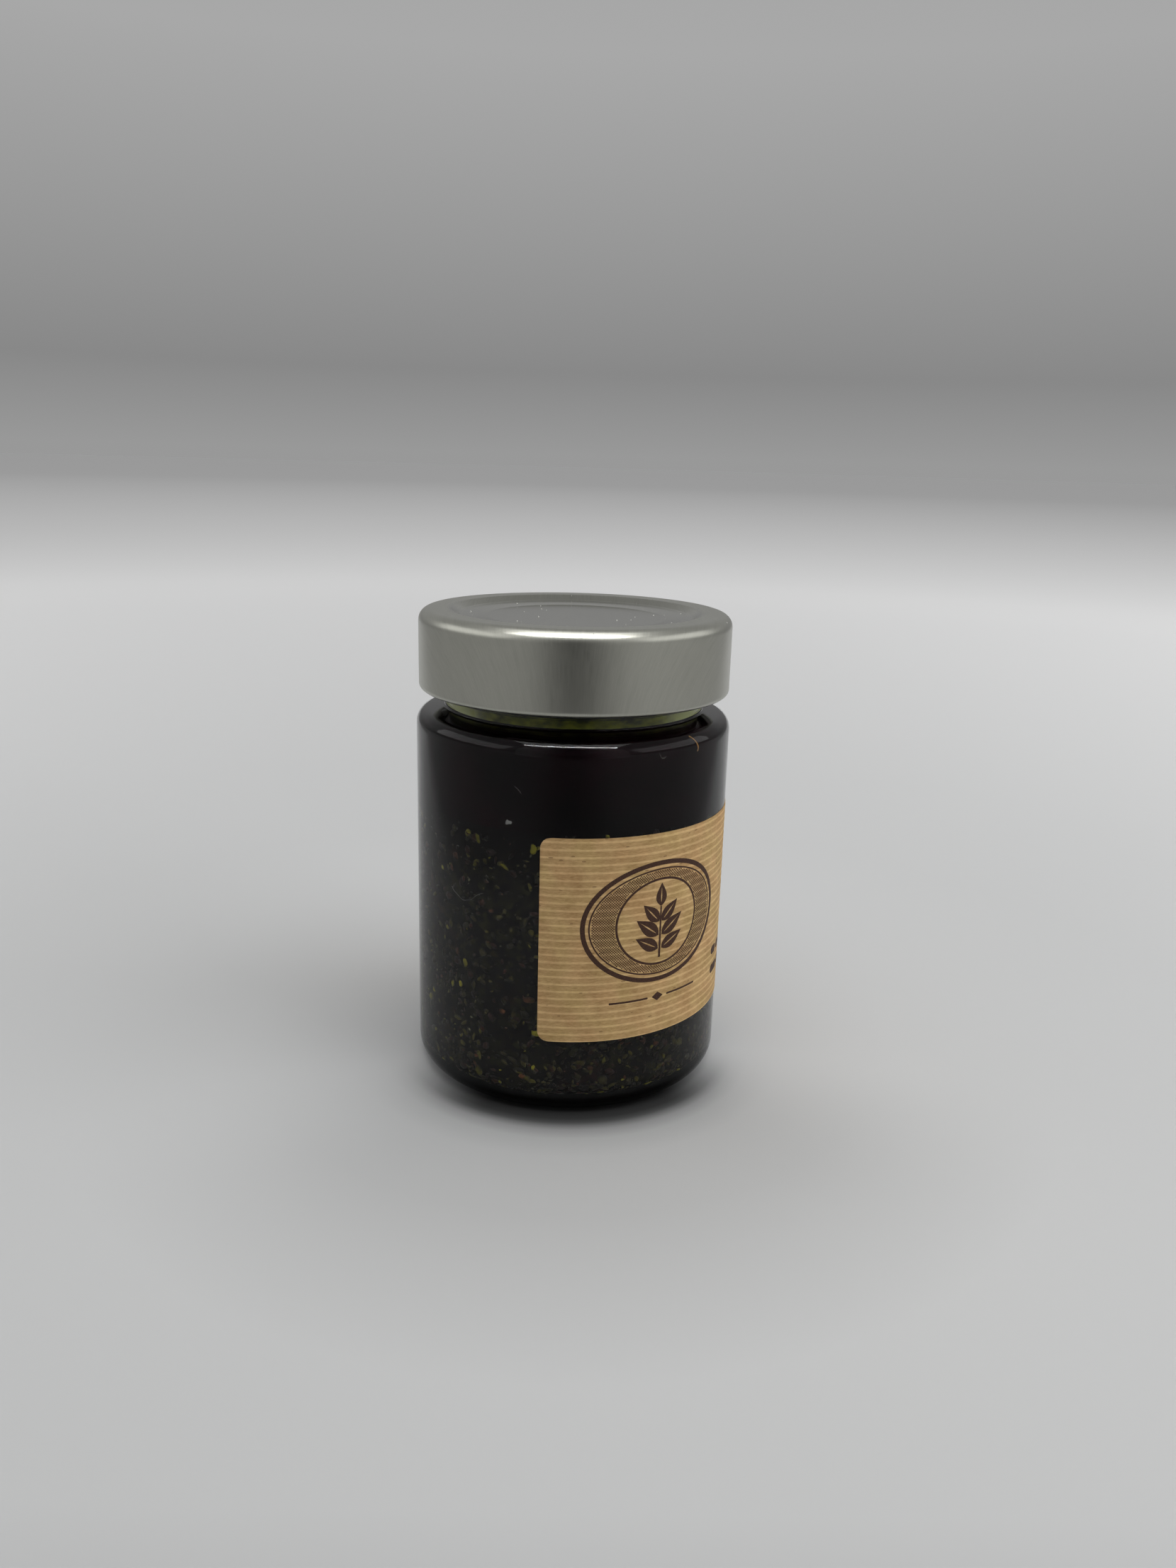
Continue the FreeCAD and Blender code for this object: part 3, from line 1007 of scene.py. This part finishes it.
def strand(name, places, surface, thickness, material):
    """A thin thread through (degrees round the jar, height, depth in from the surface) in mm."""
    curve = bpy.data.curves.new(name, "CURVE")
    curve.dimensions = "3D"
    curve.bevel_depth = thickness / 2
    curve.bevel_resolution = 1
    curve.use_fill_caps = True
    spline = curve.splines.new("NURBS")
    spline.points.add(len(places) - 1)
    for point, (degrees, height, depth) in zip(spline.points, places):
        angle = math.radians(degrees)
        r = surface - depth * mm
        point.co = (r * math.cos(angle), r * math.sin(angle), height * mm, 1)
    spline.order_u = 4
    spline.use_endpoint_u = True
    line = bpy.data.objects.new(name + "_line", curve)
    thread = placed(name, bpy.data.meshes.new_from_object(line))
    thread.data.materials.append(material)
    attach(thread, "root")


grey_thread = mottled("grey_thread", 900.0, colour(30, 30, 30), colour(150, 150, 146),
                      Roughness=0.9)
on_glass = body_radius + 0.02 * mm
fibres = {
    "lint_fibre": [(-135.3, 42.5, 0), (-134.6, 41.7, 0), (-132.5, 41.5, 0), (-130.1, 40.3, 0),
                   (-127.1, 41.0, 0), (-125.4, 41.1, 0), (-123.5, 42.6, 0), (-120.9, 43.0, 0)],
    "lint_tuft": [(-135.9, 42.6, 0), (-135.1, 42.2, 0), (-134.3, 42.7, 0)],
    "lint_hair": [(-59.8, 70.4, 0.1), (-59.4, 69.6, 0), (-58.3, 69.0, 0), (-57.2, 69.8, 0)],
    "lint_wisp": [(-109.2, 64.4, 0), (-107.6, 63.9, 0), (-106.8, 63.2, 0)],
}
for name, places in fibres.items():
    strand(name, places, on_glass, 0.035 * mm, grey_thread)

scrap_start = math.radians(-112.3)
scrap_foot = 57.1 * mm
scrap_outline = [(0.0, 0.10), (0.34, 0.0), (0.72, 0.22), (1.10, 0.16), (1.32, 0.52),
                 (1.06, 0.78), (0.66, 0.70), (0.40, 0.98), (0.12, 0.66)]
scrap_points = []
for lift in (0.01, 0.06):
    for along, up in scrap_outline:
        angle = scrap_start + along * mm / body_radius
        r = body_radius + lift * mm
        scrap_points.append((r * math.cos(angle), r * math.sin(angle), scrap_foot + up * mm))
count = len(scrap_outline)
scrap_faces = [list(range(count))[::-1], list(range(count, 2 * count))]
scrap_faces += [(i, (i + 1) % count, (i + 1) % count + count, i + count) for i in range(count)]
scrap = shaped("lint_scrap", scrap_points, scrap_faces)
scrap.data.materials.append(grey_thread)
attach(scrap, "root")

skin = mottled("tomato_skin", 1500.0, colour(64, 40, 12), colour(176, 124, 48), Roughness=0.45)
strand("tomato_shred", [(-42.8, 71.6, 0.6), (-40.0, 70.9, 0.2), (-38.3, 69.9, 0), (-39.7, 69.2, 0)],
       inner_radius + 0.45 * mm, 0.20 * mm, skin)

# ---- Floor and light --------------------------------------------------------------------
# A plain pale floor under a grey sky, with a painted contact shadow close before the jar and
# painted shade out of view before it where the viewer stands, and darker out of view at the
# sides. A broad weak lamp hangs overhead and a long narrow one only gives shine. There is a
# fill at the right, a panel at each side, and a dark card where the viewer stands.

far_off = 8.0
floor_radius = 12.0
contact_reach = 100 * mm
viewer_shade_near = -120 * mm
viewer_shade_far = -220 * mm
floor_line = [(x, y, 0) for x, y in oval(0, 0, floor_radius, floor_radius)]
floor = shaped("floor", floor_line, [list(range(len(floor_line)))])
plain, shader = new_material("pale_floor", Roughness=0.8, Specular_IOR_Level=0.2)
x, y, z = xyz(on_object(shader))
far = length(x, y)
open_floor = ramp(calc("DIVIDE", far, far_off), (0.02, (0.57, 0.575, 0.575, 1)), (0.12, 0.88))
# Painted shadow: before the jar, turned a little to its right, the floor darkens close round its base
# as the jar's contact shadow.
beside = calc("DIVIDE", calc("MULTIPLY_ADD", x, -0.09, y), calc("MAXIMUM", far, mm))
painted_contact_shadow = ramp(calc("DIVIDE", far, contact_reach), (0.28, 0.02), (0.32, 0.04), (0.335, 0.10),
             (0.36, 0.46), (0.39, 0.66), (0.45, 0.76), (0.62, 0.80), (0.78, 0.89), (1.0, 1.0))
shade = blend(ease(beside, -0.15, -0.85), open_floor,
              blend(1.0, open_floor, painted_contact_shadow, "MULTIPLY"))
past_edge = calc("SUBTRACT", calc("ABSOLUTE", x), calc("MULTIPLY_ADD", y, 0.48, 128 * mm))
wide = blend(ease(past_edge, 8 * mm, 70 * mm), shade, grey(0.36))
# Painted shade: out of view before the jar, where the viewer stands, the floor turns dark grey,
# darkest in the middle.
aside = ease(calc("ABSOLUTE", x), 15 * mm, 160 * mm)
viewer_shade = blend(aside, grey(0.22), grey(0.40))
paint(shader, blend(fade(y, viewer_shade_near, viewer_shade_far), wide, viewer_shade))
glow = ramp(calc("DIVIDE", far, far_off), (0.03, 0.0), (0.11, 0.12), (0.25, 0.10), (0.6, 0.022))
paint(shader, glow, "Emission Color")
rays = add(shader.id_data, "ShaderNodeLightPath").outputs
mirrored = calc("MAXIMUM", rays["Is Glossy Ray"], rays["Is Transmission Ray"])
paint(shader, calc("MAXIMUM", rays["Is Camera Ray"], mirrored), "Emission Strength")
floor.data.materials.append(plain)

card_place = -320 * mm
card_half_width = 260 * mm
card_height = 480 * mm
card = shaped("dark_card", [
    (-card_half_width, card_place, 0),
    (card_half_width, card_place, 0),
    (card_half_width, card_place, card_height),
    (-card_half_width, card_place, card_height),
], [(0, 1, 2, 3)])
shadowed, shader = new_material("dark_card", Roughness=0.9, Specular_IOR_Level=0.0)
from_middle = calc("ABSOLUTE", xyz(on_object(shader))[0])
paint(shader, ease(from_middle, 15 * mm, 190 * mm, 0.10, 0.85))
card.data.materials.append(shadowed)
card.visible_camera = False


def soft_lamp(name, place, wide, high, radiance):
    """A flat lamp that faces the jar, of a given brightness."""
    data = bpy.data.lights.new(name, "AREA")
    data.shape = "RECTANGLE"
    data.size = wide
    data.size_y = high
    data.energy = radiance * math.pi * wide * high
    lamp = bpy.data.objects.new(name, data)
    lamp.location = place
    facing = Vector((0, 0, 0.05)) - Vector(place)
    lamp.rotation_euler = facing.to_track_quat("-Z", "Y").to_euler()
    scene.collection.objects.link(lamp)
    return lamp


soft_lamp("lamp_over", (0.0, -0.22, 0.89), 0.75, 0.90, 1.8)
soft_lamp("lamp_strip", (-0.02, -0.42, 0.85), 0.85, 0.07, 48.0).visible_diffuse = False
soft_lamp("fill_right", (1.40, -0.60, 1.20), 1.60, 1.60, 1.9).visible_glossy = False
soft_lamp("panel_left", (-0.80, -0.12, 0.42), 1.1, 0.45, 0.9)
soft_lamp("panel_right", (0.80, -0.12, 0.42), 1.1, 0.45, 0.9)

world = bpy.data.worlds.new("studio")
world.use_nodes = True
scene.world = world
upward = xyz(add(world.node_tree, "ShaderNodeTexCoord").outputs["Generated"])[2]
sky = ramp(upward, (0.0, 0.316), (0.061, 0.246), (0.146, 0.305), (0.276, 0.392), (0.5, 0.36),
           (1.0, 0.3))
paint(world.node_tree.nodes["Background"], sky, "Color")
